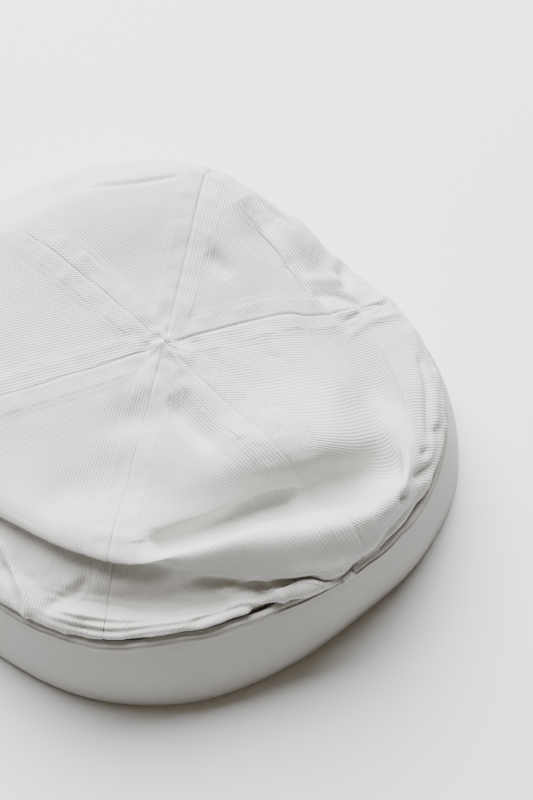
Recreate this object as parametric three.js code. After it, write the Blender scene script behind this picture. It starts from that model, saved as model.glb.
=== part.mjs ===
// A soft cotton-twill sailor cap without a brim, lying on its opening.
// Six gores make the slumped crown, and a plain folded band goes round the head opening.
// Millimetres, +Z up. The cap rests on z = 0, with the origin under the middle of its bounding box.
import * as THREE from 'three';

// Cloth
const twillThickness = 1.2;
const bandThickness = 2.4;
const pieceGap = 0.3;
const rootClearance = 0.5;

// Band
const bandFaceBow = 1.5;
const foldRounding = 0.8;

// Crown, above the band
const rootDepth = 5;
const lipRise = 2;
const apexHeight = 60;
const wedgeTipRadius = 1;

// Fineness of the mesh
const stepsAcrossGore = 12;
const stepsAlongGore = 27;
const stepsRoundBand = 84;

// The cap is described in plan as radii round its apex, at azimuths counted from +X towards +Y.
// A row stands for each place where the cloth folds in another way. From the table upwards:
// hem and bandTop are the band's outer radii, bandHeight its height, and each later pair of
// columns is a radius and a height on the crown's outer face.
const columns = [
  'azimuth', 'hem', 'bandTop', 'bandHeight', 'roll', 'rollZ', 'waist', 'waistZ',
  'fold', 'foldZ', 'rim', 'rimZ', 'shoulder', 'shoulderZ', 'dome', 'domeZ',
];
const sections = [
  [5, 89.5, 81.0, 37, 76.5, 45.5, 66, 48.0, 59, 50.0, 52, 54.5, 41, 58.5, 23, 60.3],
  [30, 81.0, 69.5, 35, 63.0, 46.0, 57, 51.5, 51, 54.0, 48, 58.0, 38, 61.5, 22, 61.5],
  [45, 77.0, 67.0, 35, 61.5, 47.0, 58, 55.5, 52, 58.0, 49, 61.5, 39, 64.5, 23, 63.0],
  [75, 76.5, 68.5, 37, 66.5, 49.5, 62, 59.5, 57, 66.5, 53, 69.5, 43, 69.5, 25, 65.0],
  [105, 81.0, 73.5, 38, 69.5, 50.0, 65, 59.5, 57, 66.0, 53, 70.5, 43, 70.5, 25, 65.5],
  [130, 87.0, 80.0, 38, 75.0, 49.5, 70, 57.0, 60, 64.0, 55, 68.5, 45, 69.0, 25, 64.5],
  [160, 92.5, 86.5, 38, 82.0, 48.0, 77, 55.5, 69, 60.5, 62, 64.5, 48, 65.0, 25, 62.5],
  [190, 95.0, 90.0, 38, 84.0, 47.0, 79, 53.0, 73, 56.5, 65, 61.0, 49, 62.0, 25, 60.5],
  [215, 94.5, 89.0, 38, 80.0, 43.0, 72, 44.5, 72, 51.0, 67, 55.5, 49, 58.5, 25, 59.0],
  [235, 92.7, 87.5, 38, 75.0, 41.0, 62, 41.0, 69, 48.0, 65, 51.5, 49, 55.0, 25, 57.8],
  [255, 93.4, 87.5, 38, 73.0, 40.5, 58, 39.5, 67, 46.5, 61, 49.0, 44, 52.5, 24, 57.0],
  [275, 92.0, 83.5, 38, 72.5, 40.0, 58, 39.0, 68, 47.5, 55, 45.5, 42, 51.5, 24, 57.0],
  [295, 88.3, 81.5, 38, 76.0, 40.0, 68, 40.0, 74, 47.0, 53, 44.5, 41, 51.5, 24, 57.3],
  [313, 87.3, 84.5, 38, 81.5, 42.0, 80, 45.5, 74, 50.0, 56, 45.5, 42, 52.5, 24, 58.0],
  [330, 90.7, 87.0, 37, 85.0, 43.0, 79, 48.5, 73, 47.0, 65, 51.5, 44, 55.5, 24, 59.0],
  [347, 93.0, 86.5, 37, 82.0, 44.0, 75, 47.5, 67, 48.5, 59, 54.5, 43, 57.5, 23, 60.0],
];

// Where the crown's columns lie along a gore, from its hidden root (0) to the apex (1).
const stations = {
  root: 0, lip: 0.09, roll: 0.2, waist: 0.33, fold: 0.46, rim: 0.58, shoulder: 0.72, dome: 0.87, apex: 1,
};

// The six seams, as azimuths at the apex and at the root. Gore 1 starts at the first seam.
const seams = [
  { atApex: 17, atRoot: 17 },
  { atApex: 77.5, atRoot: 78 },
  { atApex: 139, atRoot: 146 },
  { atApex: 200, atRoot: 200 },
  { atApex: 255, atRoot: 259 },
  { atApex: 315.5, atRoot: 314 },
];

// Soft dents: where the cloth has sunk in, how wide each is in degrees and along the gore, and how deep.
const dents = [
  { azimuth: 298, station: 0.83, spread: 16, reach: 0.06, depth: 1.6 },
  { azimuth: 48, station: 0.8, spread: 14, reach: 0.06, depth: 1.4 },
  { azimuth: 334, station: 0.3, spread: 7, reach: 0.07, depth: 2 },
  { azimuth: 34, station: 0.42, spread: 6, reach: 0.06, depth: 2.5 },
];

const degrees = Math.PI / 180;
const columnAt = Object.fromEntries(columns.map((name, index) => [name, index]));

// A smooth curve through knots that may be unevenly spaced, with slopes from the neighbours.
function smoothThrough(knots, values, x) {
  const last = knots.length - 1;
  let i = 0;
  while (i < last - 1 && x >= knots[i + 1]) i += 1;
  const chord = (k) => (values[k + 1] - values[k]) / (knots[k + 1] - knots[k]);
  const slope = (k) => {
    if (k === 0) return chord(0);
    if (k === last) return chord(last - 1);
    const before = knots[k] - knots[k - 1];
    const after = knots[k + 1] - knots[k];
    return (chord(k - 1) * after + chord(k) * before) / (before + after);
  };
  const width = knots[i + 1] - knots[i];
  const t = (x - knots[i]) / width;
  return (2 * t ** 3 - 3 * t ** 2 + 1) * values[i] + (t ** 3 - 2 * t ** 2 + t) * width * slope(i)
    + (3 * t ** 2 - 2 * t ** 3) * values[i + 1] + (t ** 3 - t ** 2) * width * slope(i + 1);
}

// The section's sizes at any azimuth, as one object with the columns' names.
const rowsRound = [
  ...sections.slice(-2).map((row) => [row[0] - 360, ...row.slice(1)]),
  ...sections,
  ...sections.slice(0, 3).map((row) => [row[0] + 360, ...row.slice(1)]),
];
const knotsRound = rowsRound.map((row) => row[0]);

function sectionAt(azimuth) {
  const first = sections[0][0];
  const turned = ((azimuth - first) % 360 + 360) % 360 + first;
  const section = {};
  for (const name of columns) {
    section[name] = smoothThrough(knotsRound, rowsRound.map((row) => row[columnAt[name]]), turned);
  }
  return section;
}

function plan(azimuth, radius, height) {
  return new THREE.Vector3(
    radius * Math.cos(azimuth * degrees),
    radius * Math.sin(azimuth * degrees),
    height,
  );
}

// A point on the crown's outer face, before the dents.
function smoothCrown(azimuth, station) {
  const s = sectionAt(azimuth);
  const inside = s.bandTop - bandThickness - rootClearance;
  const radii = [inside, inside, s.roll, s.waist, s.fold, s.rim, s.shoulder, s.dome, 0];
  const heights = [
    s.bandHeight - rootDepth, s.bandHeight + lipRise,
    s.rollZ, s.waistZ, s.foldZ, s.rimZ, s.shoulderZ, s.domeZ, apexHeight,
  ];
  const knots = Object.values(stations);
  return plan(azimuth, smoothThrough(knots, radii, station), smoothThrough(knots, heights, station));
}

// The direction out of a surface, from two short steps on it: round the cap, in degrees, and up the gore.
function outwardNormal(surface, azimuth, station) {
  const turn = 0.5;
  const step = 0.004;
  const low = Math.max(station - step, 0);
  const high = Math.min(station + step, 1 - step);
  const round = surface(azimuth + turn, station).sub(surface(azimuth - turn, station));
  const up = surface(azimuth, high).sub(surface(azimuth, low));
  return round.cross(up).normalize();
}

function crownFace(azimuth, station) {
  const point = smoothCrown(azimuth, station);
  let depth = 0;
  for (const dent of dents) {
    const away = ((azimuth - dent.azimuth + 540) % 360) - 180;
    const across = away / dent.spread;
    const along = (station - dent.station) / dent.reach;
    depth += dent.depth * Math.exp(-(across ** 2 + along ** 2) / 2);
  }
  if (depth < 0.01) return point;
  return point.addScaledVector(outwardNormal(smoothCrown, azimuth, station), -depth);
}

// Turns rows of points into the triangles of one closed wall: an outer sheet, an inner sheet
// and the strip that joins them along all four edges.
function wallBetween(outer, inner) {
  const rows = outer.length;
  const across = outer[0].length;
  const positions = [...outer.flat(), ...inner.flat()].flatMap((p) => [p.x, p.y, p.z]);
  const out = (i, j) => i * across + j;
  const back = (i, j) => rows * across + i * across + j;
  const triangles = [];
  const quad = (a, b, c, d) => triangles.push(a, b, c, a, c, d);
  for (let i = 0; i + 1 < rows; i += 1) {
    for (let j = 0; j + 1 < across; j += 1) {
      quad(out(i, j), out(i, j + 1), out(i + 1, j + 1), out(i + 1, j));
      quad(back(i, j), back(i + 1, j), back(i + 1, j + 1), back(i, j + 1));
    }
    quad(out(i, 0), out(i + 1, 0), back(i + 1, 0), back(i, 0));
    quad(out(i, across - 1), back(i, across - 1), back(i + 1, across - 1), out(i + 1, across - 1));
  }
  for (let j = 0; j + 1 < across; j += 1) {
    quad(out(0, j), back(0, j), back(0, j + 1), out(0, j + 1));
    quad(out(rows - 1, j), out(rows - 1, j + 1), back(rows - 1, j + 1), back(rows - 1, j));
  }
  return closedGeometry(positions, triangles);
}

function closedGeometry(positions, triangles) {
  const geometry = new THREE.BufferGeometry();
  geometry.setAttribute('position', new THREE.Float32BufferAttribute(positions, 3));
  geometry.setIndex(triangles);
  geometry.computeVertexNormals();
  return geometry;
}

// One gore: a wedge of cloth from inside the band up to the apex, between two seams.
function gore(from, to) {
  const outer = [];
  const inner = [];
  const tipStation = 1 - wedgeTipRadius * (1 - stations.dome) / sectionAt(from.atApex).dome;
  for (let i = 0; i <= stepsAlongGore; i += 1) {
    const station = tipStation * i / stepsAlongGore;
    const start = THREE.MathUtils.lerp(from.atRoot, from.atApex, station);
    const end = THREE.MathUtils.lerp(to.atRoot, to.atApex, station);
    const radius = Math.hypot(...smoothCrown(start, station).toArray().slice(0, 2));
    const trim = Math.asin(pieceGap / 2 / radius) / degrees;
    const outerRow = [];
    const innerRow = [];
    for (let j = 0; j <= stepsAcrossGore; j += 1) {
      const azimuth = THREE.MathUtils.lerp(start + trim, end - trim, j / stepsAcrossGore);
      const face = crownFace(azimuth, station);
      outerRow.push(face);
      innerRow.push(face.clone().addScaledVector(outwardNormal(crownFace, azimuth, station), -twillThickness));
    }
    outer.push(outerRow);
    inner.push(innerRow);
  }
  return wallBetween(outer, inner);
}

// The band: cloth folded over at the top edge, its two layers lying together as one wall.
// The profile goes up the outer face, over the fold and down the inner face, at a share of the
// height and a distance in from the outer face.
const bandProfile = [
  { share: 0, inset: 0 },
  { share: 0.25, inset: 0 },
  { share: 0.5, inset: 0 },
  { share: 0.75, inset: 0 },
  { share: 1, inset: 0, drop: foldRounding },
  { share: 1, inset: foldRounding },
  { share: 1, inset: bandThickness - foldRounding },
  { share: 1, inset: bandThickness, drop: foldRounding },
  { share: 0.75, inset: bandThickness },
  { share: 0.5, inset: bandThickness },
  { share: 0.25, inset: bandThickness },
  { share: 0, inset: bandThickness },
];

function band() {
  const positions = [];
  const triangles = [];
  const around = bandProfile.length;
  for (let i = 0; i < stepsRoundBand; i += 1) {
    const azimuth = 360 * i / stepsRoundBand;
    const s = sectionAt(azimuth);
    for (const { share, inset, drop = 0 } of bandProfile) {
      const lean = THREE.MathUtils.lerp(s.hem, s.bandTop, share);
      const radius = lean + bandFaceBow * Math.sin(Math.PI * share) - inset;
      positions.push(...plan(azimuth, radius, s.bandHeight * share - drop).toArray());
    }
  }
  for (let i = 0; i < stepsRoundBand; i += 1) {
    const next = (i + 1) % stepsRoundBand;
    for (let j = 0; j < around; j += 1) {
      const above = (j + 1) % around;
      const [a, b] = [i * around + j, next * around + j];
      const [c, d] = [next * around + above, i * around + above];
      triangles.push(a, b, c, a, c, d);
    }
  }
  return closedGeometry(positions, triangles);
}

const whiteTwill = { color: 0xeceae6, roughness: 0.92, metalness: 0 };

const cap = new THREE.Group();

function addPiece(name, geometry) {
  const mesh = new THREE.Mesh(geometry, new THREE.MeshStandardMaterial(whiteTwill));
  mesh.name = name;
  cap.add(mesh);
}

addPiece('band', band());
seams.forEach((seam, index) => {
  const wrapped = index + 1 === seams.length;
  const next = seams[(index + 1) % seams.length];
  const turn = wrapped ? 360 : 0;
  addPiece(`crown_panel_${index + 1}`, gore(seam, { atApex: next.atApex + turn, atRoot: next.atRoot + turn }));
});

// The origin goes under the middle of the cap's bounding box, on the table.
const box = new THREE.Box3().setFromObject(cap, true);
const middle = box.getCenter(new THREE.Vector3());
cap.position.set(-middle.x, -middle.y, -box.min.z);

export default cap;
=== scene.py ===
# %% [markdown]
# # A soft twill sailor cap
# The cap is sewn from six gores and a plain band, all in white cotton twill, and lies on its opening.
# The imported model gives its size, its hollow and its place. This script dresses it: cloth with real
# seams, rows of top stitching, the folds of a crown that has slumped, and a woven surface.

# %% Load the frame and keep its box
import math

import bpy
import numpy as np
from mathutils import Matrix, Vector


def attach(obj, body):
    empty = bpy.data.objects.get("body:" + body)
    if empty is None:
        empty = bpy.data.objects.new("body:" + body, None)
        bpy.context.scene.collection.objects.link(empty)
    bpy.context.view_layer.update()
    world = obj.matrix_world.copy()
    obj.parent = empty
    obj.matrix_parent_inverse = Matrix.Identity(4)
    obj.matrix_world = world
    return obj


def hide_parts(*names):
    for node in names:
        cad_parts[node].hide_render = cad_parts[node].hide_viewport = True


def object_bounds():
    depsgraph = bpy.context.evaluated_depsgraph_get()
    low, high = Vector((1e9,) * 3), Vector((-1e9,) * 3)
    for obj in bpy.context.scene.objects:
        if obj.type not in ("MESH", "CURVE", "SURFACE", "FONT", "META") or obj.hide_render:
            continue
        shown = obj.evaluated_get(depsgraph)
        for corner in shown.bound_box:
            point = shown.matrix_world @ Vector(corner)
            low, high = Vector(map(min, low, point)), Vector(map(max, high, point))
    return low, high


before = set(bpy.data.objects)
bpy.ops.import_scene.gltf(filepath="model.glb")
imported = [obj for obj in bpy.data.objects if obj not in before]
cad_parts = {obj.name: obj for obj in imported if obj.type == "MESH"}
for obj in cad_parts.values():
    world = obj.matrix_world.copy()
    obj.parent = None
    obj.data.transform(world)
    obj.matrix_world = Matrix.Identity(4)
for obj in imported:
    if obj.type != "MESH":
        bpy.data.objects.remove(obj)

bpy.ops.object.select_all(action="DESELECT")
CAD_BOX = [list(corner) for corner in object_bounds()]
print("CAD box, in metres:", CAD_BOX)

MM = 0.001

# %% [markdown]
# ## The form of the cap
# A sewn cap has no straight lines to measure from, so its form is a short table: a row for each place
# round the crown where the cloth folds in another way, and a column for each line that runs round the
# cap, as a radius and a height. All radii are counted from the apex, where the six seams meet.
# The same table gives the solids, so the cloth lies where they are, apart from the puffs further down.

# %% The table of sections, in millimetres and degrees
COLUMNS = (
    "azimuth", "hem", "band_top", "band_height", "roll", "roll_z", "waist", "waist_z",
    "fold", "fold_z", "rim", "rim_z", "shoulder", "shoulder_z", "dome", "dome_z",
)
SECTIONS = np.array([
    (5, 89.5, 81.0, 37, 76.5, 45.5, 66, 48.0, 59, 50.0, 52, 54.5, 41, 58.5, 23, 60.3),
    (30, 81.0, 69.5, 35, 63.0, 46.0, 57, 51.5, 51, 54.0, 48, 58.0, 38, 61.5, 22, 61.5),
    (45, 77.0, 67.0, 35, 61.5, 47.0, 58, 55.5, 52, 58.0, 49, 61.5, 39, 64.5, 23, 63.0),
    (75, 76.5, 68.5, 37, 66.5, 49.5, 62, 59.5, 57, 66.5, 53, 69.5, 43, 69.5, 25, 65.0),
    (105, 81.0, 73.5, 38, 69.5, 50.0, 65, 59.5, 57, 66.0, 53, 70.5, 43, 70.5, 25, 65.5),
    (130, 87.0, 80.0, 38, 75.0, 49.5, 70, 57.0, 60, 64.0, 55, 68.5, 45, 69.0, 25, 64.5),
    (160, 92.5, 86.5, 38, 82.0, 48.0, 77, 55.5, 69, 60.5, 62, 64.5, 48, 65.0, 25, 62.5),
    (190, 95.0, 90.0, 38, 84.0, 47.0, 79, 53.0, 73, 56.5, 65, 61.0, 49, 62.0, 25, 60.5),
    (215, 94.5, 89.0, 38, 80.0, 43.0, 72, 44.5, 72, 51.0, 67, 55.5, 49, 58.5, 25, 59.0),
    (235, 92.7, 87.5, 38, 75.0, 41.0, 62, 41.0, 69, 48.0, 65, 51.5, 49, 55.0, 25, 57.8),
    (255, 93.4, 87.5, 38, 73.0, 40.5, 58, 39.5, 67, 46.5, 61, 49.0, 44, 52.5, 24, 57.0),
    (275, 92.0, 83.5, 38, 72.5, 40.0, 58, 39.0, 68, 47.5, 55, 45.5, 42, 51.5, 24, 57.0),
    (295, 88.3, 81.5, 38, 76.0, 40.0, 68, 40.0, 74, 47.0, 53, 44.5, 41, 51.5, 24, 57.3),
    (313, 87.3, 84.5, 38, 81.5, 42.0, 80, 45.5, 74, 50.0, 56, 45.5, 42, 52.5, 24, 58.0),
    (330, 90.7, 87.0, 37, 85.0, 43.0, 79, 48.5, 73, 47.0, 65, 51.5, 44, 55.5, 24, 59.0),
    (347, 93.0, 86.5, 37, 82.0, 44.0, 75, 47.5, 67, 48.5, 59, 54.5, 43, 57.5, 23, 60.0),
])
STATIONS = dict(
    root=0, lip=0.09, roll=0.2, waist=0.33, fold=0.46, rim=0.58, shoulder=0.72, dome=0.87, apex=1,
)
SEAMS = [(17, 17), (77.5, 78), (139, 146), (200, 200), (255, 259), (315.5, 314)]  # at the apex, at the root
BAND_THICKNESS, ROOT_CLEARANCE = 2.4, 0.5
ROOT_DEPTH, LIP_RISE, APEX_HEIGHT, BAND_BOW = 5, 2, 60, 1.5


# %% Smooth curves through the table
def smooth_through(knots, values, x):
    """A curve through unevenly spaced knots, each with a row of values and a slope from its neighbours."""
    x = np.asarray(x, float)
    values = np.stack([np.broadcast_to(v, x.shape) for v in values])
    steps = np.diff(knots).reshape(-1, *([1] * x.ndim))
    chords = np.diff(values, axis=0) / steps
    slopes = np.empty_like(values)
    slopes[0], slopes[-1] = chords[0], chords[-1]
    slopes[1:-1] = (chords[:-1] * steps[1:] + chords[1:] * steps[:-1]) / (steps[1:] + steps[:-1])
    i = np.clip(np.searchsorted(knots, x, side="right") - 1, 0, len(knots) - 2)
    width = np.diff(knots)[i]
    t = (x - np.asarray(knots)[i]) / width

    def pick(rows, k):
        return np.take_along_axis(rows, k[None], axis=0)[0]

    return (
        (2 * t**3 - 3 * t**2 + 1) * pick(values, i) + (t**3 - 2 * t**2 + t) * width * pick(slopes, i)
        + (3 * t**2 - 2 * t**3) * pick(values, i + 1) + (t**3 - t**2) * width * pick(slopes, i + 1)
    )


ROUND = np.vstack([SECTIONS[-2:], SECTIONS, SECTIONS[:3]])
ROUND[:2, 0] -= 360
ROUND[-3:, 0] += 360


def section_at(azimuth):
    first = SECTIONS[0, 0]
    turned = (np.asarray(azimuth, float) - first) % 360 + first
    return {
        name: smooth_through(ROUND[:, 0], list(ROUND[:, k]), turned) for k, name in enumerate(COLUMNS)
    }


# %% Where the apex stands in the frame
HEM_CORNERS = 84
hem_azimuth = np.linspace(0, 360, HEM_CORNERS, endpoint=False)
hem_radius = section_at(hem_azimuth)["hem"]
APEX_X = CAD_BOX[1][0] / MM - (hem_radius * np.cos(np.radians(hem_azimuth))).max()
APEX_Y = CAD_BOX[1][1] / MM - (hem_radius * np.sin(np.radians(hem_azimuth))).max()
print(f"the apex stands at {APEX_X:.2f}, {APEX_Y:.2f} mm")


def in_frame(azimuth, radius, height):
    turn = np.radians(azimuth)
    return np.stack([APEX_X + radius * np.cos(turn), APEX_Y + radius * np.sin(turn), height + 0 * turn], -1)


# %% [markdown]
# ## Where the cloth stands over the solid
# In front the crown has slumped into a long hollow, with a round roll below it, and at the left a flap
# hangs out over the wall. The solids show all three plainly. The cloth follows lines of its own there:
# a second table gives them, with the same columns, and its last column says how strongly a row holds.

# %% The table of puffs, in millimetres and degrees
PUFF_COLUMNS = (
    "azimuth", "roll", "roll_z", "waist", "waist_z", "fold", "fold_z",
    "rim", "rim_z", "shoulder", "shoulder_z", "full",
)
PUFFS = np.array([
    (205, 81.5, 44.0, 74.0, 47.0, 72.5, 53.0, 66.5, 57.0, 49, 59.0, 0),
    (235, 76.5, 44.5, 65.0, 52.0, 68.5, 54.5, 63.5, 57.5, 49, 55.5, 1),
    (255, 74.5, 44.0, 62.5, 51.5, 67.0, 54.2, 60.0, 56.0, 44, 52.5, 1),
    (264, 74.0, 42.5, 64.0, 49.5, 66.7, 54.0, 58.5, 54.5, 43, 52.5, 1),
    (277, 73.5, 41.0, 68.0, 47.5, 63.0, 55.5, 55.0, 49.5, 42, 54.0, 1),
    (290, 75.5, 41.0, 72.0, 46.5, 63.5, 57.0, 54.5, 48.0, 42, 56.0, 1),
    (302, 79.0, 41.5, 77.5, 47.0, 68.0, 57.0, 56.5, 46.5, 43, 58.0, 1),
    (313, 82.0, 42.5, 82.0, 47.5, 74.5, 56.0, 61.5, 46.0, 47, 60.0, 1),
    (321, 83.5, 43.0, 83.8, 48.0, 79.0, 54.5, 68.5, 46.0, 53, 60.5, 1),
    (330, 85.0, 43.0, 83.5, 48.0, 80.0, 52.5, 72.0, 47.0, 56, 60.0, 1),
    (339, 84.5, 43.5, 80.5, 48.0, 76.0, 50.5, 69.0, 49.0, 53, 59.0, 0.8),
    (354, 81.5, 44.5, 73.0, 48.0, 66.0, 49.0, 58.0, 54.5, 43, 57.8, 0),
])


def puffed_section(azimuth):
    """The section, with its own line where the cloth stands over the solid."""
    s = section_at(azimuth)
    turned = np.clip(np.asarray(azimuth, float) % 360, PUFFS[0, 0], PUFFS[-1, 0])
    full = smooth_through(PUFFS[:, 0], list(PUFFS[:, -1]), turned)
    for k, name in enumerate(PUFF_COLUMNS[1:-1], 1):
        s[name] = s[name] + (smooth_through(PUFFS[:, 0], list(PUFFS[:, k]), turned) - s[name]) * full
    return s


print(len(PUFFS), "rows of puffs, from azimuth", PUFFS[0, 0], "to", PUFFS[-1, 0])


# %% The crown's smooth form
def smooth_crown(azimuth, station):
    s = puffed_section(azimuth)
    inside = s["band_top"] - BAND_THICKNESS - ROOT_CLEARANCE
    names = list(STATIONS)[2:-1]
    radii = [inside, inside] + [s[name] for name in names] + [0]
    heights = [s["band_height"] - ROOT_DEPTH, s["band_height"] + LIP_RISE]
    heights += [s[name + "_z"] for name in names] + [APEX_HEIGHT]
    knots = list(STATIONS.values())
    return in_frame(azimuth, smooth_through(knots, radii, station), smooth_through(knots, heights, station))


def outward(surface, azimuth, station):
    """The direction out of a surface, from two short steps on it."""
    turn, step = 0.4, 0.004
    station = np.minimum(station, 1 - 2 * step)
    round_it = surface(azimuth + turn, station) - surface(azimuth - turn, station)
    up_it = surface(azimuth, station + step) - surface(azimuth, station - step)
    normal = np.cross(round_it, up_it)
    return normal / np.linalg.norm(normal, axis=-1, keepdims=True)


# %% [markdown]
# ## The camera
# The camera looks down on the cap steeply from the front. It is set out before the cloth, because the
# folds of the slumped crown are placed as it sees them, in pixels of its picture.

# %% Where the camera stands
PICTURE = (533, 800)
CAMERA_LIFT, CAMERA_DISTANCE, FOCAL_PIXELS = 65.0, 620.0, 1900.0
APEX_PIXEL = (165, 345)
LIFT = math.radians(CAMERA_LIFT)
CAMERA_BACK = np.array([0, -math.cos(LIFT), math.sin(LIFT)])
CAMERA_UP = np.array([0, math.sin(LIFT), math.cos(LIFT)])


def camera_place():
    """The camera's place, in millimetres, that puts the apex on its pixel, at its distance to the table."""
    over = (APEX_PIXEL[0] - PICTURE[0] / 2) / FOCAL_PIXELS
    above = (PICTURE[1] / 2 - APEX_PIXEL[1]) / FOCAL_PIXELS
    ray = over * np.array([1, 0, 0]) + above * CAMERA_UP - CAMERA_BACK
    depth = (CAMERA_DISTANCE * math.sin(LIFT) - APEX_HEIGHT) / (math.sin(LIFT) - above * math.cos(LIFT))
    return np.array([APEX_X, APEX_Y, APEX_HEIGHT]) - ray * depth


EYE = camera_place()
print("the camera stands at", EYE.round(1), "mm")


def as_seen(points):
    """Where points fall on the picture, in pixels from its top left corner."""
    from_eye = points - EYE
    depth = -(from_eye @ CAMERA_BACK)
    right = PICTURE[0] / 2 + FOCAL_PIXELS * from_eye[..., 0] / depth
    down = PICTURE[1] / 2 - FOCAL_PIXELS * (from_eye @ CAMERA_UP) / depth
    return np.stack([right, down], -1)


# %% [markdown]
# ## Folds, dents and puckers
# Washed cotton is never smooth. The folds that the photograph shows come first, as strokes with a
# name, a width and a height. Then the seams: a pressed-open seam is a low double ridge with a crease
# down its middle, held by a row of stitches on each side, and the thread draws the cloth up into small
# puckers between the rows. Where the crown goes into the band its edge is gathered and swells a little.

# %% Soft steps, and soft noise that repeats on each run
CELL_PRIMES, SEED_PRIME = (73856093, 19349663, 83492791), 974711
MIX_FACTOR, MIX_MODULUS, NOISE_LEVELS = 2654435761, 2147483647, 20011  # whole numbers that mix well


def smooth_step(x, low, high):
    """0 below low, 1 above high, and an even rise between them."""
    t = np.clip((x - low) / (high - low), 0, 1)
    return t * t * (3 - 2 * t)


def soft_noise(points, size, seed):
    """Smooth random lumps from -1 to 1, about size millimetres across, at any points."""
    p = np.asarray(points, float) / size
    cell = np.floor(p).astype(np.int64)
    t = p - cell
    t = t * t * (3 - 2 * t)
    total = np.zeros(p.shape[:-1])
    for corner in range(2 ** p.shape[-1]):
        bits = [(corner >> k) & 1 for k in range(p.shape[-1])]
        key = np.full(p.shape[:-1], seed, np.int64) * SEED_PRIME
        weight = np.ones(p.shape[:-1])
        for k, bit in enumerate(bits):
            key = (key ^ (cell[..., k] + bit) * CELL_PRIMES[k]) * MIX_FACTOR % MIX_MODULUS
            weight = weight * (t[..., k] if bit else 1 - t[..., k])
        total += weight * (key % NOISE_LEVELS / (NOISE_LEVELS / 2) - 1)
    return total


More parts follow.
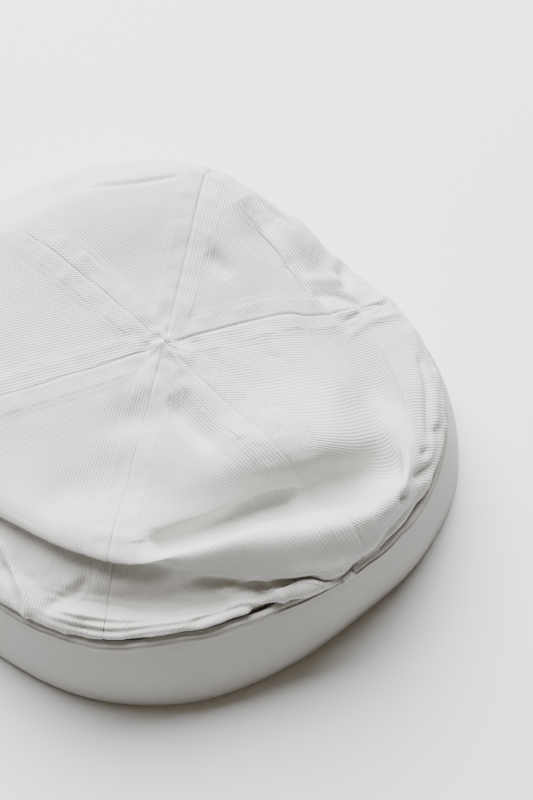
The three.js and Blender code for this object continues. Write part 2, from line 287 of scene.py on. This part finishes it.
# %% The folds, as strokes on the picture
TOP, EDGE, WALL = (0.52, 1.1), (0.36, 0.8), (0.067, 0.46)
FOLDS = [  # name, stations, half width in pixels (or left and right of the line's way), height in mm, line
    ("dent beside the second seam", TOP, (16, 9), -3.0, [(168, 394), (186, 420), (216, 450)]),
    ("hollow across the third seam", TOP, (20, 18), -2.2, [(98, 424), (168, 414)]),
    ("dent behind the apex", TOP, 9, -1.8, [(208, 250), (232, 278)]),
    ("small dimple", TOP, 4, -0.35, [(262, 353), (285, 358)]),
    ("small dimple", TOP, 4, -0.4, [(258, 408), (280, 405)]),
    ("ridge beside the third seam", TOP, 16, 0.9, [(150, 500), (165, 440)]),
    ("hollow in the left gore", TOP, 20, -1.5, [(30, 512), (92, 478)]),
    ("front crease", EDGE, (6, 15), -4.5, [(150, 539), (185, 532), (225, 518), (262, 501), (296, 491)]),
    ("lip over the front crease", EDGE, (15, 5), 0.8, [(160, 526), (222, 506), (262, 488), (300, 476)]),
    ("roll under the front crease", EDGE, (13, 17), 0.6,
     [(165, 566), (250, 542), (310, 535), (352, 526), (396, 498)]),
    ("shaded hollow", (0.42, 0.9), (22, 12), -4.0, [(300, 486), (345, 482), (388, 470), (416, 462)]),
    ("right bulge", EDGE, 15, 1.2, [(366, 510), (398, 490)]),
    ("edge of the top", (0.5, 0.95), 15, 0.6,
     [(232, 200), (246, 222), (260, 248), (274, 272), (292, 302), (310, 330), (334, 362), (354, 392)]),
    ("valley along the shelf", (0.36, 0.9), (17, 30), -5.0,
     [(247, 193), (262, 216), (276, 242), (290, 266), (308, 295), (326, 322), (352, 355), (374, 385),
      (396, 425)]),
    ("pinch at the right", (0.1, 0.6), 6, -2.4, [(414, 480), (425, 473), (435, 466)]),
    ("pinch at the right", (0.1, 0.6), 4.5, -2.2, [(424, 447), (427, 458)]),
    ("nick beside the bulge", (0.1, 0.6), 4, -2.0, [(407, 492), (402, 504)]),
    ("fold beside the pinch", (0.1, 0.5), 5, 1.2, [(424, 486), (436, 480), (444, 478)]),
    ("fold beside the pinch", (0.1, 0.5), 4, 1.0, [(421, 500), (424, 518)]),
    ("low edge of the roll", (0.3, 0.42), 8, 0.6, [(282, 572), (320, 566), (352, 552)]),
    ("dent in the roll", (0.4, 0.6), 6, -1.6, [(318, 556), (340, 553), (356, 552)]),
    ("raised edge of the seam", WALL, 4, 1.0,
     [(176, 599), (205, 600), (235, 592), (256, 580), (272, 588), (288, 603)]),
    ("hollow under the overhang", WALL, (15, 8), -3.2, [(66, 598), (118, 606), (165, 608), (232, 604)]),
    ("hollow in the peak", WALL, 8, -1.6, [(252, 596), (272, 596)]),
    ("raised edge of the seam", WALL, 4, 1.1, [(288, 602), (308, 592), (332, 580), (348, 571), (365, 560)]),
    ("fold under the roll", WALL, 8, 2.2, [(292, 592), (325, 577), (352, 562)]),
    ("slit over the band", (0.06, 0.3), 2.4, -1.7, [(190, 623), (216, 615), (242, 607), (285, 607)]),
    ("slit over the band", (0.06, 0.3), 2.4, -1.7, [(300, 604), (318, 597), (334, 588), (350, 579)]),
    ("puff at the left", WALL, 9, 1.6, [(66, 618), (92, 607)]),
    ("puff at the left", WALL, 4, 1.2, [(64, 630), (71, 632)]),
    ("fold behind the puff", WALL, 6, -1.6, [(88, 578), (74, 592), (58, 602), (44, 612)]),
    ("long fold at the left", WALL, 3, 1.5, [(0, 540), (10, 562), (20, 582), (28, 600), (31, 614)]),
    ("hollow at the left", WALL, 4, -1.0, [(0, 562), (10, 585), (20, 604)]),
    ("edge fold at the left", WALL, 3, 1.1, [(34, 618), (50, 628), (64, 640)]),
    ("tuck under the roll", (0.2, 0.31), 7, -2.5, [(190, 582), (240, 588), (285, 586), (322, 578)]),
    ("slit over the band", (0.06, 0.3), 2.2, -1.2, [(34, 628), (48, 636), (62, 643)]),
    ("far crease", (0.3, 0.66), 9, -0.4, [(247, 193), (262, 218), (273, 238), (286, 262)]),
    ("far dimple", (0.2, 0.6), 6, -1.1, [(291, 262), (301, 257)]),
    ("far fold", WALL, 5, 0.9, [(300, 274), (322, 279), (344, 283)]),
    ("far crease", WALL, 4, -1.2, [(314, 290), (345, 299), (366, 312)]),
    ("far fold", WALL, 5, 0.9, [(322, 305), (348, 312), (382, 304)]),
    ("far crease", WALL, 2.5, -0.7, [(346, 320), (366, 311), (388, 304)]),
    ("far fold", WALL, 4, 0.6, [(350, 333), (372, 322), (396, 316)]),
    ("step in the far outline", WALL, 6, -2.6, [(338, 262), (350, 292)]),
    ("far bulge", (0.1, 0.5), 15, 2.6, [(282, 212), (306, 240), (324, 262)]),
    ("line along the right edge", WALL, 4, -1.0, [(419, 356), (425, 385), (427, 412), (430, 440)]),
    ("line along the right edge", WALL, 4, 0.7, [(429, 368), (434, 400), (436, 428)]),
    ("pucker at the right", WALL, 4, -0.9, [(434, 426), (436, 436)]),
    ("pucker at the right", WALL, 4, -0.8, [(444, 440), (447, 452)]),
    ("line over the band", WALL, 2, 0.8, [(380, 547), (398, 531), (413, 519)]),
    ("nick over the band", (0.06, 0.4), 3, -1.4, [(386, 554), (395, 547)]),
    ("hollow over the band", WALL, 4.5, -1.3, [(404, 534), (418, 518), (428, 505)]),
    ("far strip", (0.3, 0.66), 2.5, -0.9, [(48, 192), (100, 186), (150, 181), (178, 176)]),
    ("far strip", WALL, 3, 0.7, [(62, 180), (110, 176), (160, 172)]),
    ("left far dip", (0.3, 0.66), 5, -1.2, [(44, 184), (58, 190)]),
]
print(len(FOLDS), "folds and dents")

# %% How a stroke bears on the cloth
LINE_STEP = 2  # pixels
FADE = (-0.35, 0.9)  # where a stroke's end starts and stops to fade, in whole widths from it
REACH = 2.6  # how far a stroke is felt, in half widths
FACING = (-0.15, 0.1)  # cosines between the cloth and the view, from none of a stroke to all of it
STATION_FADE = (0.01, 0.015, 0.04)  # before and after the low station, and after the high one


def smooth_line(line):
    """A stroke's line with its corners rounded, as points LINE_STEP apart and their way along it."""
    line = np.array(line, float)
    way = np.concatenate([[0], np.cumsum(np.linalg.norm(np.diff(line, axis=0), axis=1))])
    steps = np.linspace(0, way[-1], 2 + int(way[-1] / LINE_STEP))
    return np.stack([smooth_through(way, list(line[:, k]), steps) for k in range(2)], -1), steps


def stroke_weight(seen, line, wide):
    """How strongly a stroke bears on each point: 1 on its line, 0 well aside, and less at its ends."""
    line, way = smooth_line(line)
    gap = np.linalg.norm(seen[..., None, :] - line, axis=-1)
    nearest = gap.argmin(axis=-1)
    ahead = np.gradient(line, axis=0)[nearest]
    aside = seen - line[nearest]
    on_right = (ahead[..., 0] * aside[..., 1] - ahead[..., 1] * aside[..., 0]) > 0
    left_wide, right_wide = wide
    from_end = np.minimum(way[nearest], way[-1] - way[nearest])
    whole = left_wide + right_wide
    fade = smooth_step(from_end, FADE[0] * whole, FADE[1] * whole)
    return np.exp(-((gap.min(axis=-1) / np.where(on_right, right_wide, left_wide)) ** 2)) * fade


def fold_relief(form, normal, station, folds):
    """The height of all strokes, on the cloth that faces the camera."""
    seen = as_seen(form)
    towards = (EYE - form) / np.linalg.norm(EYE - form, axis=-1, keepdims=True)
    facing = smooth_step((normal * towards).sum(-1), *FACING)
    before_low, after_low, after_high = STATION_FADE
    height = np.zeros(station.shape)
    for _, (low, high), wide, rise, line in folds:
        corner = np.array(line)
        wide = np.broadcast_to(wide, 2)
        reach = REACH * wide.max()
        near = (seen > corner.min(0) - reach).all(-1) & (seen < corner.max(0) + reach).all(-1) & (facing > 0)
        if near.any():
            over_low = smooth_step(station[near], low - before_low, low + after_low)
            place = over_low * (1 - smooth_step(station[near], high, high + after_high))
            height[near] += rise * place * stroke_weight(seen[near], line, wide)
    return height * facing


# %% Seams and puckers
SEAM_HALF, STITCH_OFFSET = 7.0, 6.0
SEAM_RISE, CREASE_DEPTH, CREASE_HALF = 0.36, 0.42, 0.45
PUCKERED_SEAM, PUCKERED, PLAIN = 5, 0.7, 0.52  # one seam has stronger puckers than the others
SEAM_CREASES = (1, 1.1, 0.5, 0.8, 0.7, 0.35)  # how sharp each seam is


def seam_relief(aside, along, seam):
    """How far the cloth stands out near a seam: aside is the distance from it and along the way down it."""
    shoulder = 1 - smooth_step(aside, SEAM_HALF - 1.4, SEAM_HALF + 0.8)
    crease = np.exp(-((aside / CREASE_HALF) ** 2))
    stitched = np.exp(-(((aside - STITCH_OFFSET) / 0.5) ** 2))
    where = np.stack([along, aside * 0.55], -1)
    drawn = soft_noise(where, 2.8, 40 + seam) * 0.5 + soft_noise(where, 6.0, 47 + seam) * 0.7
    strength = PUCKERED if seam == PUCKERED_SEAM else PLAIN
    puckers = strength * drawn * np.exp(-(((aside - 3.6) / 3.6) ** 2))
    depth = CREASE_DEPTH * SEAM_CREASES[seam] * (1 + 0.6 * soft_noise(where[..., :1], 9.0, 57 + seam))
    return SEAM_RISE * shoulder - depth * crease - 0.2 * stitched * (1 + drawn) + puckers


# %% The gathered edge over the band
EDGE_SWELL = 1.5
ROWS_MIDDLE, ROWS_HALF, ROW_PITCH = 261, 13, 0.023  # where the rows of gathers show, and their spacing


def edge_relief(azimuth, station, form):
    """The seam edge that swells over the band, with its small puckers, and the wrinkles above it."""
    swell = smooth_step(station, 0.064, 0.088) * (1 - smooth_step(station, 0.12, 0.19))
    rows = soft_noise(form * (1, 1, 2.6), 5.5, 11) * 0.55 + soft_noise(form * (1, 1, 1.6), 2.6, 12) * 0.25
    upright = soft_noise(form * (1, 1, 0.4), 6.0, 13) * 0.45
    near_band = smooth_step(station, 0.066, 0.09) * (1 - smooth_step(station, 0.17, 0.27))
    wall = smooth_step(station, 0.09, 0.16) * (1 - smooth_step(station, 0.36, 0.5))
    wrinkles = soft_noise(form * (1, 1, 0.4), 11, 14) * 0.55 + soft_noise(form, 19, 15) * 0.7
    aside = (azimuth - ROWS_MIDDLE) % 360
    in_front = np.exp(-((np.minimum(aside, 360 - aside) / ROWS_HALF) ** 4))
    gathered = in_front * smooth_step(station, 0.075, 0.1) * (1 - smooth_step(station, 0.17, 0.21))
    wave = np.sin(2 * np.pi * (station - 0.09) / ROW_PITCH + 1.6 * soft_noise(form, 13, 16))
    row_height = 0.36 + 0.3 * soft_noise(form, 8, 17)
    puckers = near_band * (rows + upright) * (1 - 0.6 * gathered) + gathered * wave * row_height
    return EDGE_SWELL * swell * (1 - 0.5 * gathered) + puckers + wall * wrinkles


# %% The knot where the seams meet
KNOT_RISE, KNOT_HALF = 1.3, 3.6


def knot_relief(azimuth, form, from_apex):
    """The small lumpy knot, and the pleats that run out from it."""
    small = soft_noise(form * (1, 1, 0.3), 2.1, 21) * np.exp(-((from_apex / 5.5) ** 2))
    turn = np.radians(azimuth)
    ring = np.stack([np.cos(turn), np.sin(turn), from_apex / 14], -1)
    spokes = soft_noise(ring, 0.34, 22) * from_apex / 5 * np.exp(-((from_apex / 8.5) ** 2))
    return KNOT_RISE * np.exp(-((from_apex / KNOT_HALF) ** 2)) + 1.2 * small + spokes


# %% [markdown]
# ## The crown's gores
# Each gore is a grid of cloth, finer beside its seams, that follows the smooth form and then takes
# on dents, seam relief, puckers and lumps along its own outward direction. The grid also gives each
# gore flat coordinates in millimetres, so the weave runs on the straight of its cloth, as it was cut.

# %% Fineness of the cloth
ACROSS, ALONG = 120, 250
CROWN_THICKNESS = 0.9
CROWDING = 0.6  # 0 spaces the grid evenly, and 1 crowds it right into the seams
LUMPS = ((0.6, 34, 3), (0.5, 14, 5), (0.15, 6, 9))  # height and size in mm, seed
FLAT_TIP = 4.0  # within this of the apex, the relief stands straight up


def denser_at_edges(count):
    """Shares of the way across a gore, closer together beside its seams."""
    x = np.linspace(0, 1, count + 1)
    return x - CROWDING * np.sin(2 * np.pi * x) / (2 * np.pi)


# %% Distances on a gore
def seam_azimuth(seam, station):
    at_apex, at_root = seam
    return at_root + (at_apex - at_root) * station


def way_from_apex(azimuth, station_line):
    """How far down the cloth each station lies, along one line of the crown."""
    line = smooth_crown(azimuth, station_line)
    from_root = np.concatenate([[0], np.cumsum(np.linalg.norm(np.diff(line, axis=0), axis=1))])
    return from_root[-1] - from_root


# %% One gore's grid, with its flat coordinates
def gore_surface(index):
    """A gore's points, and how far each lies sideways from its middle line and down from the apex."""
    left = SEAMS[index]
    right = SEAMS[(index + 1) % len(SEAMS)]
    if index + 1 == len(SEAMS):
        right = (right[0] + 360, right[1] + 360)
    station_line = np.linspace(0, 1, ALONG + 1)
    share, station = np.meshgrid(denser_at_edges(ACROSS), station_line)
    start, end = seam_azimuth(left, station), seam_azimuth(right, station)
    azimuth = start + (end - start) * share
    form = smooth_crown(azimuth, station)
    middle = smooth_crown((start + end) / 2, station)
    wide = np.radians(end - start) * np.hypot(middle[..., 0] - APEX_X, middle[..., 1] - APEX_Y)
    sideways = (share - 0.5) * wide
    down_left = way_from_apex(start[:, 0], station_line)[:, None] + 0 * share
    down_right = way_from_apex(end[:, 0], station_line)[:, None] + 0 * share
    from_apex = (down_left + down_right) / 2
    to_right = smooth_step(share, 0.35, 0.65)
    relief = seam_relief(share * wide, down_left, index) * (1 - to_right)
    relief += seam_relief((1 - share) * wide, down_right, (index + 1) % len(SEAMS)) * to_right
    straight = np.linalg.norm(form - form[-1, 0], axis=-1)
    near_apex = np.exp(-((straight / FLAT_TIP) ** 2))
    normal = outward(smooth_crown, azimuth, station)
    normal = normal + (np.array([0, 0, 1]) - normal) * near_apex[..., None]
    lumps = sum(height * soft_noise(form, size, seed) for height, size, seed in LUMPS)
    out = relief * (1 - near_apex) + lumps + knot_relief(azimuth, form, straight)
    out += edge_relief(azimuth, station, form) + fold_relief(form, normal, station, FOLDS)
    outside_band = smooth_step(station, 0.05, 0.085)
    points = form + normal * (out * outside_band)[..., None]
    return points, sideways, from_apex


# %% Grids to meshes
FLAT_UNIT = 10.0  # millimetres of cloth in one unit of its UV map


def corners_of(grid):
    """What a grid holds at the four corners of each of its quads."""
    return np.stack([grid[:-1, :-1], grid[:-1, 1:], grid[1:, 1:], grid[1:, :-1]], -1)


def grid_mesh(name, points, flat_u, flat_v, ring_length=None):
    """A quad grid as a mesh object, its UV map in flat units. A ring has its length in millimetres."""
    rows, across = points.shape[:2]
    index = np.arange(rows * across).reshape(rows, across)
    if ring_length:
        index = np.hstack([index, index[:, :1]])
        flat_u = np.hstack([flat_u, flat_u[:, :1] + ring_length])
        flat_v = np.hstack([flat_v, flat_v[:, :1]])
    mesh = bpy.data.meshes.new(name)
    mesh.from_pydata((points.reshape(-1, 3) * MM).tolist(), [], corners_of(index).reshape(-1, 4).tolist())
    flat = np.stack([corners_of(flat_u / FLAT_UNIT), corners_of(flat_v / FLAT_UNIT)], -1)
    layer = mesh.uv_layers.new(name="flat")
    layer.data.foreach_set("uv", flat.reshape(-1))
    mesh.shade_smooth()
    obj = bpy.data.objects.new(name, mesh)
    bpy.context.scene.collection.objects.link(obj)
    return obj


def apply_modifiers(obj):
    """Applies the object's modifiers in their order, and leaves nothing selected."""
    bpy.ops.object.select_all(action="DESELECT")
    obj.select_set(True)
    bpy.context.view_layer.objects.active = obj
    for modifier in list(obj.modifiers):
        bpy.ops.object.modifier_apply(modifier=modifier.name)
    obj.select_set(False)


def wall(obj, thickness):
    """Closes the gore's tip and gives its cloth a thickness, inwards from the face."""
    weld = obj.modifiers.new("close the tip", "WELD")
    weld.merge_threshold = 0.0005 * MM
    solid = obj.modifiers.new("wall", "SOLIDIFY")
    solid.thickness = thickness * MM
    solid.offset = -1
    apply_modifiers(obj)


# %% Make the six gores
gores, gore_grids = [], []
for index in range(len(SEAMS)):
    points, sideways, from_apex = gore_surface(index)
    gore_grids.append((points, sideways))
    gore = grid_mesh(f"gore_{index + 1}", points, sideways, from_apex)
    wall(gore, CROWN_THICKNESS)
    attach(gore, "root")
    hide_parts(f"crown_panel_{index + 1}")
    gores.append(gore)
    print(gore.name, len(gore.data.polygons), "faces,", f"{from_apex.max():.0f} mm long")


# %% [markdown]
# ## The band
# The band is one long strip, folded lengthways so that its two layers lie together, with the fold at
# the top edge and the hem on the table. Its face is pressed smooth, with a ridge where the folded edge
# is stitched down. Its outline leans in towards the top, because the crown pulls it.

# %% The band's profile
AROUND = 420
EDGE_ROUND = 1.15
MEAN_RADIUS, FACE_HEIGHT = 88, 38


def band_profile():
    """Points round the folded strip, as (share of the height, inset from the face, drop), hem to hem."""
    up = [(share, 0, 0) for share in np.linspace(0.03, 0.97, 34)]
    fold_turns = np.linspace(0, np.pi, 9)
    over = [(1, EDGE_ROUND * (1 - math.cos(a)), EDGE_ROUND * (1 - math.sin(a))) for a in fold_turns]
    down = [(share, 2 * EDGE_ROUND, 0) for share in np.linspace(0.97, 0.03, 20)]
    hem = [(0, 2 * EDGE_ROUND - 0.3, 0), (0, 0.3, 0)]
    return np.array(up + over + down + hem)


# %% The band's grid
def band_surface():
    """The band's points, and how far each lies round the strip and up it."""
    profile = band_profile()
    azimuth = np.linspace(0, 360, AROUND, endpoint=False)[None, :] + 0 * profile[:, :1]
    share, inset, drop = (profile[:, k:k + 1] + 0 * azimuth for k in range(3))
    s = section_at(azimuth)
    face = s["hem"] * (1 - share) + s["band_top"] * share + BAND_BOW * np.sin(np.pi * share)
    turn = np.radians(azimuth)
    way_round = turn * MEAN_RADIUS
    loop = np.stack([np.cos(turn) * MEAN_RADIUS, np.sin(turn) * MEAN_RADIUS, share * FACE_HEIGHT], -1)
    waves = 0.45 * soft_noise(loop, 42, 61) + 0.2 * soft_noise(loop * (1, 1, 0.5), 17, 62)
    below_top = (1 - share) * FACE_HEIGHT
    near_top = np.exp(-((below_top / 3.2) ** 2))
    edge_waves = near_top * (0.5 * soft_noise(loop, 9, 63) + 0.2 * soft_noise(loop, 4, 64))
    stitched_down = np.exp(-(((below_top - 2.6) / 0.45) ** 2))
    ridge = 0.3 * np.exp(-(((below_top - 1.0) / 0.8) ** 2)) - 0.2 * stitched_down
    fixed_hem = np.clip(share / 0.15, 0, 1)
    height = s["band_height"] * share - drop + near_top * 0.5 * soft_noise(loop, 12, 65)
    radius = face - inset + (waves + edge_waves) * fixed_hem + np.where(inset < EDGE_ROUND, ridge, 0)
    return in_frame(azimuth, radius, np.maximum(height, 0)), way_round, share * FACE_HEIGHT + inset * 3


# %% Make the band
points, way_round, way_up = band_surface()
points = np.vstack([points, points[:1]])
way_round = np.vstack([way_round, way_round[:1]])
way_up = np.vstack([way_up, way_up[-1:] + 2])
band = grid_mesh("band_cloth", points, way_round, way_up, ring_length=2 * math.pi * MEAN_RADIUS)
weld = band.modifiers.new("join the strip", "WELD")
weld.merge_threshold = 0.01 * MM
apply_modifiers(band)
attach(band, "root")
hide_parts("band")
print(band.name, len(band.data.polygons), "faces")


# %% [markdown]
# ## Top stitching
# Lockstitch shows as short straight threads, end to end in a row, each sunk a little at its ends.
# One stitch is made as a small spindle and copied down both sides of every seam.

# %% One stitch, and a row of them
STITCH_LENGTH, STITCH_GAP, THREAD = 2.2, 0.5, 0.3
THREAD_FLATTENED, THREAD_SUNK = 0.8, 0.02


def stitch_shape():
    """One round spindle of unit size, as its points and faces."""
    bpy.ops.mesh.primitive_uv_sphere_add(segments=8, ring_count=6, radius=0.5)
    obj = bpy.context.active_object
    bpy.ops.object.transform_apply(location=False, rotation=False, scale=False)
    verts = np.array([v.co for v in obj.data.vertices])
    faces = [list(p.vertices) for p in obj.data.polygons]
    bpy.data.objects.remove(obj)
    return verts, faces


def lay_stitches(name, lines):
    """Copies the stitch along lines, each a pair of arrays: points and outward normals."""
    shape, faces = stitch_shape()
    all_points, all_faces = [], []
    for line, normals in lines:
        steps = np.linalg.norm(np.diff(line, axis=0), axis=1)
        way = np.concatenate([[0], np.cumsum(steps)])
        count = int(way[-1] / (STITCH_LENGTH + STITCH_GAP))
        for k in range(count):
            middle = (k + 0.5) * way[-1] / count
            at = np.array([np.interp(middle, way, line[:, c]) for c in range(3)])
            ahead = np.array([np.interp(middle + 1, way, line[:, c]) for c in range(3)])
            behind = np.array([np.interp(middle - 1, way, line[:, c]) for c in range(3)])
            up = np.array([np.interp(middle, way, normals[:, c]) for c in range(3)])
            along = (ahead - behind) / np.linalg.norm(ahead - behind)
            up = up / np.linalg.norm(up)
            side = np.cross(up, along)
            body = (
                shape[:, 2:3] * STITCH_LENGTH * along + shape[:, :1] * THREAD * side
                + shape[:, 1:2] * THREAD * THREAD_FLATTENED * up
            )
            all_faces += [[i + len(all_points) * len(shape) for i in f] for f in faces]
            all_points.append(at - up * THREAD_SUNK + body)
    mesh = bpy.data.meshes.new(name)
    mesh.from_pydata((np.vstack(all_points) * MM).tolist(), [], all_faces)
    mesh.shade_smooth()
    obj = bpy.data.objects.new(name, mesh)
    bpy.context.scene.collection.objects.link(obj)
    return obj


# %% Where the rows run
NARROWEST = 1.2  # millimetres of gore left inside a row where it stops, near the apex
ROW_START = 0.1  # the station where it starts


def stitch_lines():
    """Two rows on each gore, beside its seams, as points and the directions out of the cloth."""
    lines = []
    for points, sideways in gore_grids:
        half = np.abs(sideways).max(axis=1)
        normals = np.cross(np.gradient(points, axis=1), np.gradient(points, axis=0))
        normals /= np.linalg.norm(normals, axis=-1, keepdims=True) + 1e-9
        for sign in (-1, 1):
            rows = [i for i in range(ALONG) if half[i] > STITCH_OFFSET + NARROWEST and i > ROW_START * ALONG]
            line, up = [], []
            for i in rows:
                target = sign * (half[i] - STITCH_OFFSET)
                line.append([np.interp(target, sideways[i], points[i, :, c]) for c in range(3)])
                up.append([np.interp(target, sideways[i], normals[i, :, c]) for c in range(3)])
            lines.append((np.array(line), np.array(up)))
    return lines


stitches = lay_stitches("top_stitching", stitch_lines())
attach(stitches, "root")
print(stitches.name, len(stitches.data.polygons), "faces")


# %% [markdown]
# ## Cloth as a material
# Twill shows fine slanting wales, 0.8 mm apart, each a row of floats. The wales run on the flat
# coordinates, so every gore has its own slant. Shader sums are written as Python expressions: a
# small class wraps a socket, and each operator adds its Math node.

# %% Sockets that can be added and multiplied
class Socket:
    """A shader socket, whose operators add the Math node that works out the result."""

    def __init__(self, tree, socket):
        self.tree, self.socket = tree, socket

    def node(self, kind, settings=None, out=0, **inputs):
        node = self.tree.nodes.new(kind)
        for key, value in (settings or {}).items():
            setattr(node, key, value)
        for key, value in inputs.items():
            place = int(key[1:]) if key[0] == "i" and key[1:].isdigit() else key.replace("_", " ")
            if isinstance(value, Socket):
                self.tree.links.new(value.socket, node.inputs[place])
            else:
                node.inputs[place].default_value = value
        return Socket(self.tree, node.outputs[out])

    def math(self, operation, other=None):
        inputs = {"i0": self} if other is None else {"i0": self, "i1": other}
        return self.node("ShaderNodeMath", {"operation": operation}, **inputs)

    def __add__(self, other):
        return self.math("ADD", other)

    def __sub__(self, other):
        return self.math("SUBTRACT", other)

    def __mul__(self, other):
        return self.math("MULTIPLY", other)

    def sine(self):
        return self.math("SINE")


def new_material(name):
    """A material, its shader, and a bare Socket that makes the first nodes in its tree."""
    material = bpy.data.materials.new(name)
    material.use_nodes = True
    tree = material.node_tree
    shader = tree.nodes["Principled BSDF"]
    return material, shader, Socket(tree, None)


# %% The twill
WALE_PITCH, FLOAT_PITCH = 0.8, 1.3


def twill(name, colour, wale_turn, depth, groove_shade):
    """A woven cloth: wales at a slant in degrees to the straight of the piece, so many millimetres deep."""
    material, shader, make = new_material(name)
    flat = make.node("ShaderNodeTexCoord", out=2)
    place = make.node("ShaderNodeTexCoord", out=3)
    parts = make.node("ShaderNodeSeparateXYZ", i0=flat)
    across = Socket(make.tree, parts.socket.node.outputs[0]) * FLAT_UNIT
    along = Socket(make.tree, parts.socket.node.outputs[1]) * FLAT_UNIT

    def noise(scale, detail):
        settings = {"noise_dimensions": "3D"}
        return make.node("ShaderNodeTexNoise", settings, Vector=place, Scale=scale, Detail=detail)

    drift = noise(90.0, 1.0)
    turn = math.radians(wale_turn)
    over_wales = across * math.cos(turn) - along * math.sin(turn) + drift * 0.5
    down_wales = across * math.sin(turn) + along * math.cos(turn)
    wale = (over_wales * (2 * math.pi / WALE_PITCH)).sine()
    floats = (down_wales * (2 * math.pi / FLOAT_PITCH) - over_wales * (2 * math.pi / WALE_PITCH)).sine()
    fuzz, slubs, broad = noise(2600.0, 2.0), noise(160.0, 4.0), noise(22.0, 2.0)
    height = wale * (slubs * 0.8 + 0.5) + floats * 0.3 + fuzz * 0.7 + slubs * 0.5
    bump = make.node("ShaderNodeBump", Strength=0.9, Distance=depth * MM, Height=height)
    # The wales and floats are coloured darker in their grooves, as painted shade on top of the bump. The
    # slubs and broad lumps vary the tone at random.
    tone = wale * groove_shade + floats * 0.01 + slubs * 0.05 + broad * 0.03 + 0.93
    red, green, blue = (tone * part for part in colour)
    shade = make.node("ShaderNodeCombineColor", Red=red, Green=green, Blue=blue)
    tree = make.tree
    tree.links.new(shade.socket, shader.inputs["Base Color"])
    tree.links.new(bump.socket, shader.inputs["Normal"])
    rough = slubs * 0.1 + 0.84
    tree.links.new(rough.socket, shader.inputs["Roughness"])
    shader.inputs["Sheen Weight"].default_value = 0.12
    shader.inputs["Specular IOR Level"].default_value = 0.25
    return material


# %% Dress the crown and the band
# The band is the same white twill as the crown, but its colour is set darker: painted shade for the band's
# face, which stands in the shade.
CROWN_WHITE, BAND_WHITE_PAINTED_SHADE = (0.61, 0.60, 0.58), (0.50, 0.49, 0.465)
crown_twill = twill("crown twill", CROWN_WHITE, wale_turn=25.0, depth=0.07, groove_shade=0.075)
shaded_band_twill = twill("band twill with painted shade", BAND_WHITE_PAINTED_SHADE, wale_turn=62.0, depth=0.03, groove_shade=0.015)
for gore in gores:
    gore.data.materials.append(crown_twill)
band.data.materials.append(shaded_band_twill)
print(crown_twill.name, len(crown_twill.node_tree.nodes), "nodes")

# %% The thread
thread, shader, make = new_material("cotton thread")
place = make.node("ShaderNodeTexCoord", out=3)
twist = make.node("ShaderNodeTexNoise", {"noise_dimensions": "3D"}, Vector=place, Scale=3000.0, Detail=1.0)
tone = twist * 0.1 + 0.58
shade = make.node("ShaderNodeCombineColor", Red=tone, Green=tone * 0.99, Blue=tone * 0.97)
make.tree.links.new(shade.socket, shader.inputs["Base Color"])
shader.inputs["Roughness"].default_value = 0.8
stitches.data.materials.append(thread)


# %% [markdown]
# ## Table, light and camera
# The cap lies on a pale table under one large soft light from behind and the left, so its top is
# bright and its front falls into shade.

# %% The table
TABLE_SIZE, TABLE_WHITE = 6.0, (0.74, 0.745, 0.765, 1)
bpy.ops.mesh.primitive_plane_add(size=TABLE_SIZE)
table = bpy.context.active_object
table.name = "table"
surface, shader, _ = new_material("pale table")
shader.inputs["Base Color"].default_value = TABLE_WHITE
shader.inputs["Roughness"].default_value = 0.6
table.data.materials.append(surface)


# %% The light
WINDOW_PLACE, WINDOW_SIZE, WINDOW_POWER = (-0.24, 0.94, 1.21), 1.5, 150  # metres and watts
WINDOW_COLOUR = (0.965, 0.985, 1.0)
FILL_COLOUR, FILL_STRENGTH = (1.0, 0.84, 0.58, 1), 0.155


def area_light(name, place, aim, size, power, colour):
    data = bpy.data.lights.new(name, "AREA")
    data.shape = "SQUARE"
    data.size = size
    data.energy = power
    data.color = colour
    lamp = bpy.data.objects.new(name, data)
    bpy.context.scene.collection.objects.link(lamp)
    lamp.location = place
    towards = Vector(aim) - lamp.location
    lamp.rotation_euler = towards.to_track_quat("-Z", "Y").to_euler()
    return lamp


area_light("window", WINDOW_PLACE, (0, 0, 0), WINDOW_SIZE, WINDOW_POWER, WINDOW_COLOUR)
world = bpy.data.worlds.new("studio")
bpy.context.scene.world = world
world.use_nodes = True
fill = world.node_tree.nodes["Background"]
fill.inputs["Color"].default_value = FILL_COLOUR
fill.inputs["Strength"].default_value = FILL_STRENGTH

# %% The camera
SENSOR_HEIGHT = 36.0
data = bpy.data.cameras.new("photo angle")
data.sensor_fit = "VERTICAL"
data.sensor_height = SENSOR_HEIGHT
data.lens = FOCAL_PIXELS / PICTURE[1] * data.sensor_height
camera = bpy.data.objects.new("photo angle", data)
bpy.context.scene.collection.objects.link(camera)
camera.location = EYE * MM
camera.rotation_euler = (math.radians(90 - CAMERA_LIFT), 0, 0)
bpy.context.scene.camera = camera
